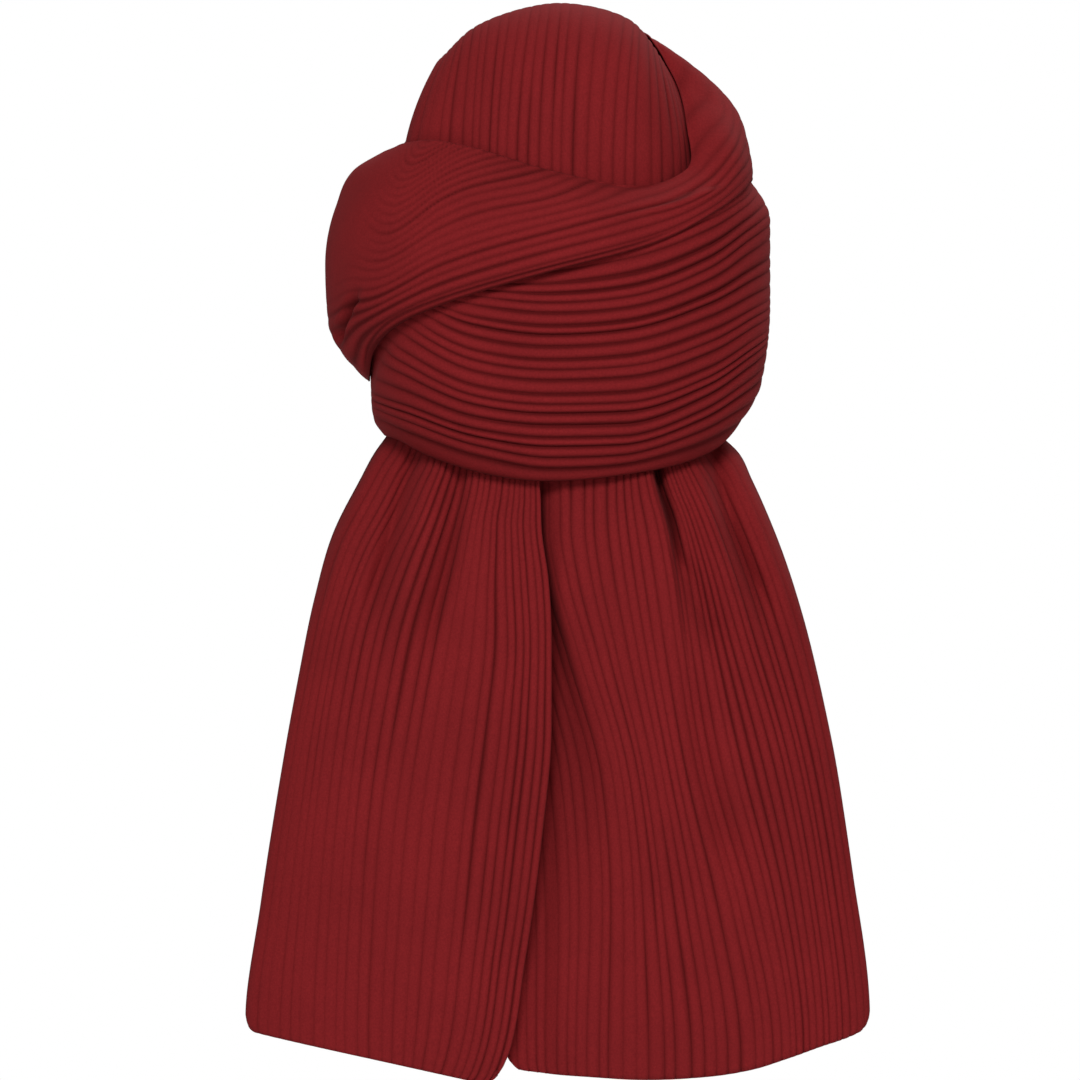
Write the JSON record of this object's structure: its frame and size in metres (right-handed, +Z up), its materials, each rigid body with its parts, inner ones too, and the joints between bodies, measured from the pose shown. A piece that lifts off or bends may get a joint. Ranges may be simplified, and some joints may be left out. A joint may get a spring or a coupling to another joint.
{
  "type": "pleated scarf",
  "caption": "Dark red pleated scarf, wound and tied round the neck, with an arched crown over the top, two wraps and two hanging tails.",
  "frame": {"origin": "middle of the neck hollow, level with the middle of the two wraps", "axes": "+Z up, -Y is the front with the two tails, +X is the right as seen from the front"},
  "size_m": [0.37, 0.207, 0.6431],
  "materials": {
    "crown": "matte pleated cloth",
    "wrap_over": "matte pleated cloth",
    "wrap_under": "matte pleated cloth",
    "tail_left": "matte pleated cloth",
    "tail_right": "matte pleated cloth"
  },
  "bodies": {
    "root": {"crown": "crown", "wrap_over": "wrap_over", "wrap_under": "wrap_under", "tail_left": "tail_left", "tail_right": "tail_right"}
  },
  "joints": []
}
